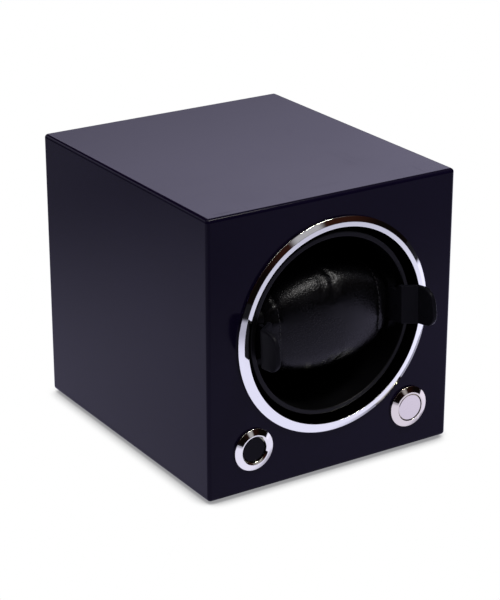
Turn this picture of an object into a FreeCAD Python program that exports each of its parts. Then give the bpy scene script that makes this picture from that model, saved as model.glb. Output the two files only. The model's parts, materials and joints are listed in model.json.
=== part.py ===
import FreeCAD, Part
import os
from math import acos, cos, pi, radians, sin, sqrt, tan

# Watch winder for one watch, in millimetres.
# +Z is up, the front faces -Y, +X is to the right of someone who faces the front.
# The origin is the middle of the cabinet's footprint, on the surface that it stands on.
# A "depth" is a distance behind the plane of the cabinet's front, so it grows along +Y.

V = FreeCAD.Vector
ALONG_X = V(1, 0, 0)
ALONG_Y = V(0, 1, 0)
ALONG_Z = V(0, 0, 1)

# Clearances
slip = 0.3
seat_gap = 0.1
run_gap = 0.05
fit_gap = 0.02
end_float = 0.2

# Largest rounding of an edge, as a share of the wall's thickness
round_share = 0.46

# Cabinet boards
wall_t = 9.0
panel_t = 9.0
edge_r = 1.5
side_gap = 4.2
top_gap = 0.6
bottom_gap = 8.6
felt_t = 1.2
felt_inset = 3.0
felt_corner_r = 4.0
block_w = 10.0
block_l = 18.0

# Drum
drum_r = 38.0
drum_wall = 2.0
drum_setback = 1.0
drum_inner_l = 53.0
drum_floor_t = 2.5
drum_lip_r = 0.3
drum_rest_turn = 2.0
drum_boss_r = 8.0
drum_boss_l = 3.5
drum_boss_floor = 1.2
drum_hub_r = 7.0
drum_hub_l = 1.3
ledge_l = 3.0
ledge_h = 10.0
ledge_bite = 3.0
lining_t = 1.0

# Chrome ring around the drum
ring_gap = 3.0
ring_w = 3.9
ring_flat_w = 1.85
ring_proud = 2.1
ring_edge_l = 1.05
spigot_t = 1.9

# Pot that the drum turns in
housing_wall = 1.8
housing_back_t = 3.0
flange_t = 2.5
flange_w = 2.0
lug_offset = 5.0
lug_r = 4.2
lug_angles = (45.0, 135.0, 245.0, 295.0)
pillar_r = 4.0
pillar_inset = 1.8
pillar_angles = (30.0, 90.0, 150.0, 315.0)

# Shaft and its bushes
shaft_r = 3.0
bush_wall = 1.5
bush_flange_w = 1.5
bush_flange_t = 1.0
front_bush_tail = 1.2
rear_boss_l = 2.0
rear_boss_wall = 2.0
shaft_tail = 3.5
clip_t = 0.8
clip_w = 2.0
clip_groove = 0.6

# Gear train
gear_module = 0.7
pressure_angle = 25.0
addendum_share = 0.8
dedendum_share = 1.0
backlash = 0.16
drum_teeth = 63
idler_small_teeth = 18
idler_large_teeth = 45
pinion_teeth = 18
gear_w = 5.0
gear_gap = 2.0
gear_step = 1.5
gear_hub_r = 8.0
gear_hub_l = 1.3
idler_pin_r = 2.0
idler_boss_r = 4.0
idler_angle = 225.0
pinion_angle = -30.0

# Rear plate and motor
plate_t = 3.0
gearhead_r = 14.0
gearhead_l = 16.0
can_r = 12.2
can_l = 24.0
can_cap_r = 4.0
can_cap_l = 1.5
motor_boss_r = 5.0
motor_boss_l = 2.5
motor_shaft_r = 2.0
motor_shaft_grip = 10.0
motor_screw_pitch = 20.0
motor_rear_gap = 3.5

# Rear cover, battery door and inlet
cover_t = 5.0
cover_recess = 1.0
door_t = 2.5
door_margin = 1.5
door_ledge = 1.5
door_pin_r = 0.9
door_pin_l = 2.5
door_scoop_r = 5.0
door_scoop_l = 1.2
jack_inset_x = 19.0
jack_drop = 32.6
jack_flange_r = 7.0
jack_body_r = 5.5
jack_body_l = 14.0
jack_socket_r = 2.75
jack_socket_l = 9.0
jack_pin_r = 1.0
jack_nut_af = 14.0
jack_nut_t = 2.5

# Battery tray
cell_r = 7.25
cell_l = 50.5
cell_nub_r = 2.6
cell_nub_l = 1.2
cell_gap = 0.5
cell_head_gap = 1.0
contact_space = 3.25
contact_t = 0.4
contact_w = 9.0
tray_wall = 1.5
tray_rise = 21.4

# Control board on the left wall
board_t = 1.6
board_l = 36.0
board_h = 34.0
board_drop = 15.6
board_gap = 5.0
post_l = 4.0
post_r = 2.6
post_inset = 3.6

# Watch holder
pillow_proud = 2.0
pillow_d = 40.0
pillow_h = 46.0
pillow_end_d = 28.0
pillow_end_h = 24.0
pillow_hem = 2.2
pillow_hem_draw = 1.6
pillow_crown = 1.2
pillow_fullness = 0.65
pillow_corner_share = 0.62
pillow_stations = (-1, -0.78, -0.45, 0, 0.45, 0.78, 1)
end_plate_t = 3.8
end_plate_corner_r = 4.0
holder_gap = 0.4
spine_t = 6.0
spine_h = 16.0
spine_setback = 1.3

# Finger tabs of the holder
tab_t = 2.0
limb_t = 1.6
limb_h = 14.0
ear_h = 16.2
ear_l = 10.8
ear_corner_r = 6.5
ear_round = 0.6
ear_lift = 1.7
ear_tilt = 7.5
bend_proud = 6.5
neck_depth = 1.0
neck_l = 2.5
arm_slope = 56.0
tab_pivot_depth = 20.0
tab_pin_r = 1.0
tab_barrel_r = 1.7

# Push buttons
button_inset_x = 20.35
button_inset_z = 18.2
bezel_r = 8.8
bezel_proud = 2.0
bezel_lip_w = 0.6
bezel_edge_l = 0.9
bezel_pocket_r = 5.9
left_mouth_w = 0.65
left_mouth_step = 0.2
bezel_pocket_l = 2.6
bezel_wall = 0.9
bezel_step_l = 1.2
barrel_r = 5.8
barrel_bore_r = 4.0
barrel_tail = 3.0
cap_gap = 0.25
left_cap_sunk = 1.2
left_cap_t = 1.1
right_cap_sunk = 0.1
right_cap_t = 2.0
cap_edge = 0.3
cap_collar_r = 5.0
cap_collar_l = 1.0
cap_stem_r = 2.0
cap_stem_l = 3.9
button_travel = 1.2
button_nut_af = 13.0
button_nut_t = 2.8
switch_w = 12.0
switch_l = 9.0
switch_head = 6.0

# Screws
screw_head_r = 2.6
screw_head_l = 1.6
screw_r = 1.2
screw_bite = 5.5
cover_screw_head_r = 3.2
cover_screw_head_l = 2.0
drum_screw_r = 1.5
drum_screw_l = 7.5
drum_screw_head_r = 3.0
drum_screw_head_l = 2.0
plate_screw_head_l = 1.2

# Wiring
lead_r = 0.6
lead_pitch = 2.6
lead_bend_share = 0.45
plug_w = 6.0
plug_l = 7.0
plug_h = 5.0
chip_w = 7.0
chip_t = 1.6
driver_w = 4.5
capacitor_r = 2.25
capacitor_h = 8.0

# Sizes that follow from the ones above
drum_inner_r = drum_r - drum_wall
ring_inner_r = drum_r + ring_gap
ring_outer_r = ring_inner_r + ring_w
opening_r = ring_inner_r + spigot_t + seat_gap
housing_r = ring_inner_r + housing_wall
flange_r = housing_r + flange_w
lug_circle_r = housing_r + lug_offset
pillar_circle_r = housing_r - pillar_r - pillar_inset
bush_r = shaft_r + run_gap + bush_wall
bush_flange_r = bush_r + bush_flange_w

cavity_x = flange_r + side_gap
cabinet_w = 2 * (cavity_x + wall_t)
cavity_floor_z = felt_t + wall_t
axis_z = cavity_floor_z + bottom_gap + flange_r
cavity_top_z = axis_z + flange_r + top_gap
cabinet_top_z = cavity_top_z + wall_t

# Depths of the drum, the gears, the motor and the rear cover, one behind the other
drum_floor_depth = drum_setback + drum_inner_l
drum_back_depth = drum_floor_depth + drum_floor_t
drum_hub_depth = drum_back_depth + drum_hub_l
front_flange_depth = drum_hub_depth + end_float
housing_back_depth = front_flange_depth + bush_flange_t
housing_end_depth = housing_back_depth + housing_back_t
gear_a_depth = housing_end_depth + gear_gap
gear_a_end = gear_a_depth + gear_w
gear_b_depth = gear_a_end + gear_step
gear_b_end = gear_b_depth + gear_w
gear_hub_end = gear_b_end + gear_hub_l
rear_flange_depth = gear_hub_end + end_float
plate_depth = rear_flange_depth + bush_flange_t
plate_end = plate_depth + plate_t
rear_bush_end = plate_end + rear_boss_l
gearhead_end = plate_end + gearhead_l
can_end = gearhead_end + can_l
cover_depth = can_end + motor_rear_gap
cover_end = cover_depth + cover_t
cabinet_d = cover_end + cover_recess
front_y = -cabinet_d / 2

drum_boss_depth = drum_floor_depth - drum_boss_l
shaft_front_depth = drum_boss_depth + drum_boss_floor
shaft_rear_depth = rear_bush_end + end_float + clip_t + shaft_tail
shaft_hole_depth = drum_boss_depth + drum_screw_l + slip

# Places of the gear axes
idler_distance = gear_module * (drum_teeth + idler_small_teeth) / 2
idler_x = idler_distance * cos(radians(idler_angle))
idler_z = axis_z + idler_distance * sin(radians(idler_angle))
pinion_distance = gear_module * (idler_large_teeth + pinion_teeth) / 2
motor_x = idler_x + pinion_distance * cos(radians(pinion_angle))
motor_z = idler_z + pinion_distance * sin(radians(pinion_angle))

# Places in the holder
pillow_mid_depth = pillow_d / 2 - pillow_proud
end_plate_x = sqrt((drum_inner_r - holder_gap) ** 2 - (pillow_end_h / 2) ** 2)
pillow_x = end_plate_x - end_plate_t
end_plate_front = pillow_mid_depth - pillow_end_d / 2
end_plate_rear = pillow_mid_depth + pillow_end_d / 2
tab_pivot_x = end_plate_x - end_plate_t / 2
tab_slot_end = tab_pivot_depth + tab_barrel_r + slip
holder_screw_depth = tab_slot_end + screw_head_r + spine_setback
ear_x = drum_r - drum_wall / 2

# Places of the buttons
button_x = cabinet_w / 2 - button_inset_x
button_z = felt_t + button_inset_z
barrel_end = panel_t + barrel_tail
bezel_shoulder = bezel_pocket_l + bezel_step_l
pocket_wall_r = bezel_pocket_r + bezel_wall
left_pocket_r = bezel_pocket_r + left_mouth_step - left_mouth_w
cap_body_r = barrel_bore_r - cap_gap
cap_collar_depth = barrel_end + slip
cap_collar_end = cap_collar_depth + cap_collar_l
cap_stem_end = cap_collar_end + cap_stem_l
switch_depth = cap_collar_end + button_travel + 2 * slip

# Places of the tray, the board and the inlet
tray_inner_w = cell_l + cell_nub_l + 2 * contact_space
tray_inner_h = 4 * cell_r + 3 * cell_gap
tray_inner_d = 2 * cell_r + cell_gap + cell_head_gap
tray_z = axis_z + tray_rise
tray_depth = cover_depth - tray_inner_d - tray_wall
cell_depth = tray_depth + tray_wall + cell_gap + cell_r
door_w = tray_inner_w - 2 * door_margin
door_h = tray_inner_h - 2 * door_margin
door_hinge_depth = cover_end - door_t / 2
door_hinge_z = tray_z - door_h / 2 + door_t / 2
jack_x = cavity_x - jack_inset_x
jack_z = axis_z - jack_drop
board_x = -cavity_x + post_l
board_face_x = board_x + board_t
board_z = axis_z - board_drop
board_depth = plate_end + board_gap
board_mid_depth = board_depth + board_l / 2
board_end = board_depth + board_l


def at(depth):
    return front_y + depth


def block(x0, x1, depth0, depth1, z0, z1):
    return Part.makeBox(x1 - x0, depth1 - depth0, z1 - z0, V(x0, at(depth0), z0))


def rod(radius, depth0, depth1, x=0.0, z=axis_z):
    return Part.makeCylinder(radius, depth1 - depth0, V(x, at(depth0), z), ALONG_Y)


def cross_rod(radius, x0, x1, depth, z):
    return Part.makeCylinder(radius, x1 - x0, V(x0, at(depth), z), ALONG_X)


def upright_rod(radius, x, depth, z0, z1):
    return Part.makeCylinder(radius, z1 - z0, V(x, at(depth), z0), ALONG_Z)


def turned(corners, x=0.0, z=axis_z):
    """Solid of revolution about an axis along Y, from (radius, depth) corners."""
    points = [V(x + radius, at(depth), z) for radius, depth in corners]
    face = Part.Face(Part.makePolygon(points + points[:1]))
    return face.revolve(V(x, 0, z), ALONG_Y, 360)


def hexagon(across_flats, hole_r, depth0, depth1, x, z):
    corner_r = across_flats / sqrt(3)
    angles = [radians(60 * i) for i in range(7)]
    points = [V(x + corner_r * cos(a), at(depth0), z + corner_r * sin(a)) for a in angles]
    nut = Part.Face(Part.makePolygon(points)).extrude(ALONG_Y * (depth1 - depth0))
    return nut.cut(rod(hole_r, depth0, depth1, x, z))


def on_circle(radius, angle):
    return radius * cos(radians(angle)), axis_z + radius * sin(radians(angle))


def rounded_plate(x0, x1, depth0, depth1, z0, z1, radius, along):
    plate = block(x0, x1, depth0, depth1, z0, z1)
    edges = [e for e in plate.Edges if abs(e.tangentAt(e.FirstParameter).dot(along)) > 0.9]
    return plate.makeFillet(radius, edges)


def joined(first, *others):
    return first.multiFuse(list(others)).removeSplitter()


# Cabinet


def cabinet_shell():
    half_w = cabinet_w / 2
    shell = block(-half_w, half_w, 0, cabinet_d, felt_t, cabinet_top_z)
    shell = shell.makeFillet(edge_r, shell.Edges)
    cavity = block(-cavity_x, cavity_x, panel_t, cabinet_d + wall_t, cavity_floor_z, cavity_top_z)
    cuts = [cavity, rod(opening_r, -panel_t, 2 * panel_t)]
    for x in (-button_x, button_x):
        cuts.append(rod(pocket_wall_r + seat_gap, -panel_t, bezel_shoulder + seat_gap, x, button_z))
        cuts.append(rod(barrel_r + seat_gap, 0, 2 * panel_t, x, button_z))
    for angle in lug_angles:
        x, z = on_circle(lug_circle_r, angle)
        cuts.append(rod(screw_r + seat_gap, panel_t - screw_bite - slip, panel_t + slip, x, z))
    return shell.cut(cuts)


def block_places():
    return [(x, z) for x in (-1, 1) for z in (-1, 1)]


def block_centre(side, level):
    x = side * (cavity_x - block_w / 2)
    if level < 0:
        return x, cavity_floor_z + block_w / 2
    return x, cavity_top_z - block_w / 2


def corner_blocks():
    blocks = []
    half = block_w / 2
    for side, level in block_places():
        x, z = block_centre(side, level)
        body = block(x - half, x + half, cover_depth - block_l, cover_depth, z - half, z + half)
        hole = rod(screw_r + seat_gap, cover_depth - screw_bite - slip, cover_depth, x, z)
        blocks.append(body.cut(hole))
    return Part.makeCompound(blocks)


def base_felt():
    half_w = cabinet_w / 2 - felt_inset
    return rounded_plate(-half_w, half_w, felt_inset, cabinet_d - felt_inset, 0, felt_t,
                         felt_corner_r, ALONG_Z)


def front_ring():
    flat_r = ring_inner_r + ring_flat_w
    spigot_r = ring_inner_r + spigot_t
    return turned([(ring_inner_r, -ring_proud), (flat_r, -ring_proud), (ring_outer_r, -ring_edge_l),
                   (ring_outer_r, 0), (spigot_r, 0), (spigot_r, panel_t), (ring_inner_r, panel_t)])


# Pot and shaft


def drum_housing():
    bush_hole = bush_r + seat_gap
    pot = turned([(ring_inner_r, panel_t), (flange_r, panel_t), (flange_r, panel_t + flange_t),
                  (housing_r, panel_t + flange_t), (housing_r, housing_end_depth),
                  (bush_hole, housing_end_depth), (bush_hole, housing_back_depth),
                  (ring_inner_r, housing_back_depth)])
    added = []
    holes = []
    inside = rod(ring_inner_r, panel_t - slip, housing_back_depth)
    for angle in lug_angles:
        x, z = on_circle(lug_circle_r, angle)
        added.append(rod(lug_r, panel_t, panel_t + flange_t, x, z).cut(inside))
        holes.append(rod(screw_r + seat_gap, panel_t - slip, panel_t + flange_t + slip, x, z))
    for angle in pillar_angles:
        x, z = on_circle(pillar_circle_r, angle)
        added.append(rod(pillar_r, housing_end_depth, plate_depth, x, z))
        holes.append(rod(screw_r + seat_gap, plate_depth - screw_bite - slip, plate_depth + slip, x, z))
    added.append(rod(idler_boss_r, housing_end_depth, gear_a_depth - end_float, idler_x, idler_z))
    holes.append(rod(idler_pin_r + fit_gap, housing_back_depth, gear_a_depth, idler_x, idler_z))
    return joined(pot, *added).cut(holes)


def rear_facing_screw(x, z, seat_depth, bite, head_l=screw_head_l):
    """Screw put in from behind: its head sits behind seat_depth and its shank runs forward."""
    head = rod(screw_head_r, seat_depth, seat_depth + head_l, x, z)
    return joined(head, rod(screw_r, seat_depth - bite, seat_depth, x, z))


def housing_screws():
    seat = panel_t + flange_t
    places = [on_circle(lug_circle_r, angle) for angle in lug_angles]
    return Part.makeCompound([rear_facing_screw(x, z, seat, flange_t + screw_bite) for x, z in places])


def flanged_bush(flange_depth, end):
    bore = shaft_r + run_gap
    seat = flange_depth + bush_flange_t
    return turned([(bore, flange_depth), (bush_flange_r, flange_depth), (bush_flange_r, seat),
                   (bush_r, seat), (bush_r, end), (bore, end)])


def front_bush():
    return flanged_bush(front_flange_depth, housing_end_depth + front_bush_tail)


def rear_bush():
    return flanged_bush(rear_flange_depth, rear_bush_end)


def clip_depth():
    return rear_bush_end + end_float


def drum_shaft():
    shaft = rod(shaft_r, shaft_front_depth, shaft_rear_depth)
    hole = rod(drum_screw_r + seat_gap, shaft_front_depth, shaft_hole_depth)
    start = clip_depth()
    end = start + clip_t
    groove = turned([(shaft_r - clip_groove, start), (shaft_r + clip_w, start),
                     (shaft_r + clip_w, end), (shaft_r - clip_groove, end)])
    return shaft.cut([hole, groove])


def shaft_clip():
    inner = shaft_r - clip_groove + fit_gap
    clip = rod(shaft_r + clip_w, clip_depth(), clip_depth() + clip_t)
    mouth = block(-inner, inner, clip_depth(), clip_depth() + clip_t, axis_z - shaft_r - 2 * clip_w, axis_z)
    return clip.cut([rod(inner, clip_depth(), clip_depth() + clip_t), mouth])


# Drum


def drum():
    bore = shaft_r + fit_gap
    hole = drum_screw_r + seat_gap
    cup = turned([(drum_inner_r, drum_setback), (drum_r, drum_setback), (drum_r, drum_back_depth),
                  (drum_hub_r, drum_back_depth), (drum_hub_r, drum_hub_depth), (bore, drum_hub_depth),
                  (bore, shaft_front_depth), (hole, shaft_front_depth), (hole, drum_boss_depth),
                  (drum_boss_r, drum_boss_depth), (drum_boss_r, drum_floor_depth),
                  (drum_inner_r, drum_floor_depth)])
    lip = [e for e in cup.Edges if abs(e.BoundBox.YMax - at(drum_setback)) < 0.001]
    cup = cup.makeFillet(min(drum_lip_r, round_share * drum_wall), lip)
    ledge_depth = end_plate_rear + slip
    ledge_core = rod(drum_r - drum_wall / 2, ledge_depth, ledge_depth + ledge_l)
    ledges = []
    for side in (-1, 1):
        reach = sorted((side * (end_plate_x - ledge_bite), side * (drum_r + ring_gap)))
        ledge = block(reach[0], reach[1], ledge_depth, ledge_depth + ledge_l,
                      axis_z - ledge_h / 2, axis_z + ledge_h / 2)
        ledges.append(ledge.common(ledge_core))
    return joined(cup, *ledges)


def drum_lining():
    disc = rod(drum_inner_r - slip, drum_floor_depth - lining_t, drum_floor_depth)
    return disc.cut(rod(drum_boss_r + slip, drum_floor_depth - lining_t, drum_floor_depth))


def drum_screw():
    head = rod(drum_screw_head_r, drum_boss_depth - drum_screw_head_l, drum_boss_depth)
    return joined(head, rod(drum_screw_r, drum_boss_depth, drum_boss_depth + drum_screw_l))


# Gears


def involute(angle):
    return tan(angle) - angle


def gear_outline(teeth, phase, depth, x, z):
    """Wire of a spur gear whose first tooth points along phase, in the plane at the given depth."""
    pitch_r = gear_module * teeth / 2
    base_r = pitch_r * cos(radians(pressure_angle))
    tip_r = pitch_r + addendum_share * gear_module
    root_r = pitch_r - dedendum_share * gear_module
    start_r = max(base_r, root_r)
    half_tooth = pi / (2 * teeth) - backlash / (4 * pitch_r) + involute(radians(pressure_angle))

    def point(radius, angle):
        return V(x + radius * cos(angle), at(depth), z + radius * sin(angle))

    def flank(radius):
        return half_tooth - involute(acos(min(1.0, base_r / radius)))

    edges = []
    middle_r = (start_r + tip_r) / 2
    step = 2 * pi / teeth
    for tooth in range(teeth):
        mid = phase + tooth * step
        rise = [point(r, mid - flank(r)) for r in (start_r, middle_r, tip_r)]
        fall = [point(r, mid + flank(r)) for r in (tip_r, middle_r, start_r)]
        next_start = mid + step - flank(start_r)
        root_in = point(root_r, mid + flank(start_r))
        root_out = point(root_r, next_start)
        edges.append(Part.Arc(*rise).toShape())
        edges.append(Part.Arc(rise[2], point(tip_r, mid), fall[0]).toShape())
        edges.append(Part.Arc(*fall).toShape())
        if start_r > root_r:
            edges.append(Part.makeLine(fall[2], root_in))
        edges.append(Part.Arc(root_in, point(root_r, mid + step / 2), root_out).toShape())
        if start_r > root_r:
            edges.append(Part.makeLine(root_out, point(start_r, next_start)))
    return Part.Wire(Part.__sortEdges__(edges))


def spur_gear(teeth, phase, depth0, depth1, x, z):
    return Part.Face(gear_outline(teeth, phase, depth0, x, z)).extrude(ALONG_Y * (depth1 - depth0))


def drum_gear():
    wheel = spur_gear(drum_teeth, radians(idler_angle), gear_a_depth, gear_a_end, 0, axis_z)
    hub = rod(gear_hub_r, gear_a_end, gear_hub_end)
    return joined(wheel, hub).cut(rod(shaft_r + fit_gap, gear_a_depth, gear_hub_end))


def idler_gear():
    meet = radians(idler_angle) + pi + pi / idler_small_teeth
    small = spur_gear(idler_small_teeth, meet, gear_a_depth, gear_b_depth, idler_x, idler_z)
    large = spur_gear(idler_large_teeth, radians(pinion_angle), gear_b_depth, gear_b_end, idler_x, idler_z)
    return joined(small, large).cut(rod(idler_pin_r + run_gap, gear_a_depth, gear_b_end, idler_x, idler_z))


def idler_pin():
    return rod(idler_pin_r, housing_back_depth, plate_end, idler_x, idler_z)


def motor_pinion():
    meet = radians(pinion_angle) + pi + pi / pinion_teeth
    wheel = spur_gear(pinion_teeth, meet, gear_b_depth, gear_b_end, motor_x, motor_z)
    return wheel.cut(rod(motor_shaft_r + fit_gap, gear_b_depth, gear_b_end, motor_x, motor_z))


# Rear plate and motor


def motor_screw_places():
    return [(motor_x, motor_z + side * motor_screw_pitch / 2) for side in (-1, 1)]


def gear_plate():
    plate = rod(housing_r, plate_depth, plate_end)
    bush_boss = rod(bush_r + rear_boss_wall, plate_end, rear_bush_end)
    pin_boss = rod(idler_boss_r, gear_b_end + end_float, plate_depth, idler_x, idler_z)
    holes = [rod(bush_r + seat_gap, plate_depth, rear_bush_end),
             rod(idler_pin_r + fit_gap, gear_b_end, plate_end, idler_x, idler_z),
             rod(motor_boss_r + seat_gap, plate_depth, plate_end, motor_x, motor_z)]
    places = [on_circle(pillar_circle_r, angle) for angle in pillar_angles]
    for x, z in places + motor_screw_places():
        holes.append(rod(screw_r + seat_gap, plate_depth, plate_end, x, z))
    return joined(plate, bush_boss, pin_boss).cut(holes)


def plate_screws():
    places = [on_circle(pillar_circle_r, angle) for angle in pillar_angles]
    return Part.makeCompound([rear_facing_screw(x, z, plate_end, plate_t + screw_bite) for x, z in places])


def motor_gearhead():
    bore = motor_shaft_r + run_gap
    grip_end = plate_end + motor_shaft_grip
    head = turned([(bore, plate_end - motor_boss_l), (motor_boss_r, plate_end - motor_boss_l),
                   (motor_boss_r, plate_end), (gearhead_r, plate_end), (gearhead_r, gearhead_end),
                   (0, gearhead_end), (0, grip_end + slip), (bore, grip_end + slip)], motor_x, motor_z)
    holes = [rod(screw_r + seat_gap, plate_end, plate_end + screw_bite + slip, x, z)
             for x, z in motor_screw_places()]
    return head.cut(holes)


def motor_can():
    return turned([(0, gearhead_end), (can_r, gearhead_end), (can_r, can_end), (can_cap_r, can_end),
                   (can_cap_r, can_end + can_cap_l), (0, can_end + can_cap_l)], motor_x, motor_z)


def motor_shaft():
    return rod(motor_shaft_r, gear_b_depth, plate_end + motor_shaft_grip, motor_x, motor_z)


def motor_screws():
    screws = []
    for x, z in motor_screw_places():
        head = rod(screw_head_r, plate_depth - plate_screw_head_l, plate_depth, x, z)
        screws.append(joined(head, rod(screw_r, plate_depth, plate_end + screw_bite, x, z)))
    return Part.makeCompound(screws)


# Rear cover


def cover_screw_places():
    return [block_centre(side, level) for side, level in block_places()]


def rear_cover():
    edge_x = cavity_x - slip
    cover = block(-edge_x, edge_x, cover_depth, cover_end, cavity_floor_z + slip, cavity_top_z - slip)
    half_w = door_w / 2
    low_z = tray_z - door_h / 2
    high_z = tray_z + door_h / 2
    pocket = block(-half_w - slip, half_w + slip, cover_end - door_t - slip, cover_end,
                   low_z - slip, high_z + slip)
    window = block(-half_w + door_ledge, half_w - door_ledge, cover_depth, cover_end,
                   low_z + door_ledge, high_z - door_ledge)
    pin_x = half_w + door_pin_l + slip
    cuts = [pocket, window, cross_rod(door_pin_r + run_gap, -pin_x, pin_x, door_hinge_depth, door_hinge_z),
            rod(jack_body_r + seat_gap, cover_depth, cover_end, jack_x, jack_z)]
    for x, z in cover_screw_places():
        cuts.append(rod(screw_r + seat_gap, cover_depth, cover_end, x, z))
        cuts.append(rod(cover_screw_head_r + seat_gap, cover_end - cover_screw_head_l, cover_end, x, z))
    return cover.cut(cuts)


def cover_screws():
    seat = cover_end - cover_screw_head_l
    screws = []
    for x, z in cover_screw_places():
        head = rod(cover_screw_head_r, seat, cover_end, x, z)
        slot_w = screw_r / 2
        reach = 2 * screw_r
        slots = [block(x - reach, x + reach, cover_end - slot_w, cover_end, z - slot_w, z + slot_w),
                 block(x - slot_w, x + slot_w, cover_end - slot_w, cover_end, z - reach, z + reach)]
        screws.append(joined(head.cut(slots), rod(screw_r, cover_depth - screw_bite, seat, x, z)))
    return Part.makeCompound(screws)


def battery_door():
    half_w = door_w / 2
    high_z = tray_z + door_h / 2
    leaf = block(-half_w, half_w, cover_end - door_t, cover_end, door_hinge_z, high_z)
    roll = cross_rod(door_t / 2, -half_w, half_w, door_hinge_depth, door_hinge_z)
    pin_x = half_w + door_pin_l
    pins = cross_rod(door_pin_r, -pin_x, pin_x, door_hinge_depth, door_hinge_z)
    scoop = rod(door_scoop_r, cover_end - door_scoop_l, cover_end + slip, 0, high_z)
    return joined(leaf, roll, pins).cut(scoop)


def dc_jack():
    body_front = cover_end + cover_recess - jack_body_l
    face = cover_end + cover_recess
    socket_end = face - jack_socket_l
    return turned([(0, body_front), (jack_body_r, body_front), (jack_body_r, cover_end),
                   (jack_flange_r, cover_end), (jack_flange_r, face), (jack_socket_r, face),
                   (jack_socket_r, socket_end), (jack_pin_r, socket_end),
                   (jack_pin_r, face - jack_socket_r), (0, face - jack_socket_r)], jack_x, jack_z)


def jack_nut():
    return hexagon(jack_nut_af, jack_body_r + seat_gap, cover_depth - jack_nut_t, cover_depth, jack_x, jack_z)


# Battery tray


def battery_tray():
    half_w = tray_inner_w / 2
    half_h = tray_inner_h / 2
    outer = block(-half_w - tray_wall, half_w + tray_wall, tray_depth, cover_depth,
                  tray_z - half_h - tray_wall, tray_z + half_h + tray_wall)
    inner = block(-half_w, half_w, tray_depth + tray_wall, cover_depth, tray_z - half_h, tray_z + half_h)
    return outer.cut(inner)


def cell_places():
    """Height of each cell and the side that its positive end points to."""
    rise = cell_r + cell_gap / 2
    return [(tray_z - rise, 1), (tray_z + rise, -1)]


def cell_ends(side):
    nub_x = tray_inner_w / 2 - contact_space
    return side * nub_x, side * (nub_x - cell_nub_l), side * (nub_x - cell_nub_l - cell_l)


def battery_cells():
    cells = []
    for z, side in cell_places():
        tip, shoulder, tail = cell_ends(side)
        can = cross_rod(cell_r, min(shoulder, tail), max(shoulder, tail), cell_depth, z)
        nub = cross_rod(cell_nub_r, min(tip, shoulder), max(tip, shoulder), cell_depth, z)
        cells.append(joined(can, nub))
    return Part.makeCompound(cells)


def battery_contacts():
    """Bowed leaf at each end of each cell, from the tray's wall to just short of the cell."""
    leaves = []
    bow = contact_space - contact_t - slip
    for z, side in cell_places():
        for end in (-1, 1):
            wall_x = end * tray_inner_w / 2
            rim = [V(wall_x, at(cell_depth - contact_w / 2), z - contact_w / 2),
                   V(wall_x - end * bow, at(cell_depth - contact_w / 2), z),
                   V(wall_x, at(cell_depth - contact_w / 2), z + contact_w / 2)]
            shift = V(-end * contact_t, 0, 0)
            back = [p + shift for p in rim]
            edges = [Part.Arc(*rim).toShape(), Part.makeLine(rim[2], back[2]),
                     Part.Arc(*reversed(back)).toShape(), Part.makeLine(back[0], rim[0])]
            leaves.append(Part.Face(Part.Wire(edges)).extrude(ALONG_Y * contact_w))
    return Part.makeCompound(leaves)


# Control board


def board_corners():
    return [(board_mid_depth + i * (board_l / 2 - post_inset), board_z + j * (board_h / 2 - post_inset))
            for i in (-1, 1) for j in (-1, 1)]


def control_board():
    board = block(board_x, board_face_x, board_depth, board_end, board_z - board_h / 2, board_z + board_h / 2)
    return board.cut([cross_rod(screw_r + seat_gap, board_x, board_face_x, d, z) for d, z in board_corners()])


def board_posts():
    posts = []
    for d, z in board_corners():
        bore = cross_rod(screw_r + seat_gap, -cavity_x, board_x, d, z)
        posts.append(cross_rod(post_r, -cavity_x, board_x, d, z).cut(bore))
    return Part.makeCompound(posts)


def board_screws():
    screws = []
    for d, z in board_corners():
        head = cross_rod(screw_head_r, board_face_x, board_face_x + screw_head_l, d, z)
        screws.append(joined(head, cross_rod(screw_r, -cavity_x, board_face_x, d, z)))
    return Part.makeCompound(screws)


def on_board(along, up):
    """Depth and height of a place on the board, as shares of its half length and half height."""
    return board_mid_depth + along * board_l / 2, board_z + up * board_h / 2


PLUGS = {
    "motor": on_board(0.6, -0.15),
    "battery": on_board(0.28, 0.7),
    "jack": on_board(-0.28, 0.15),
    "switch": on_board(-0.28, -0.7),
}


def board_block(place, length, height, thickness):
    d, z = place
    return block(board_face_x, board_face_x + thickness, d - length / 2, d + length / 2,
                 z - height / 2, z + height / 2)


def board_parts():
    """Four lead plugs, a controller chip, a driver chip and a capacitor on the board."""
    parts = [board_block(place, plug_l, plug_h, plug_w) for place in PLUGS.values()]
    parts.append(board_block(on_board(0.25, -0.65), chip_w, chip_w, chip_t))
    parts.append(board_block(on_board(-0.74, -0.22), driver_w, driver_w, chip_t))
    parts.append(cross_rod(capacitor_r, board_face_x, board_face_x + capacitor_h, *on_board(0.62, 0.32)))
    return Part.makeCompound(parts)


# Watch holder


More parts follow.
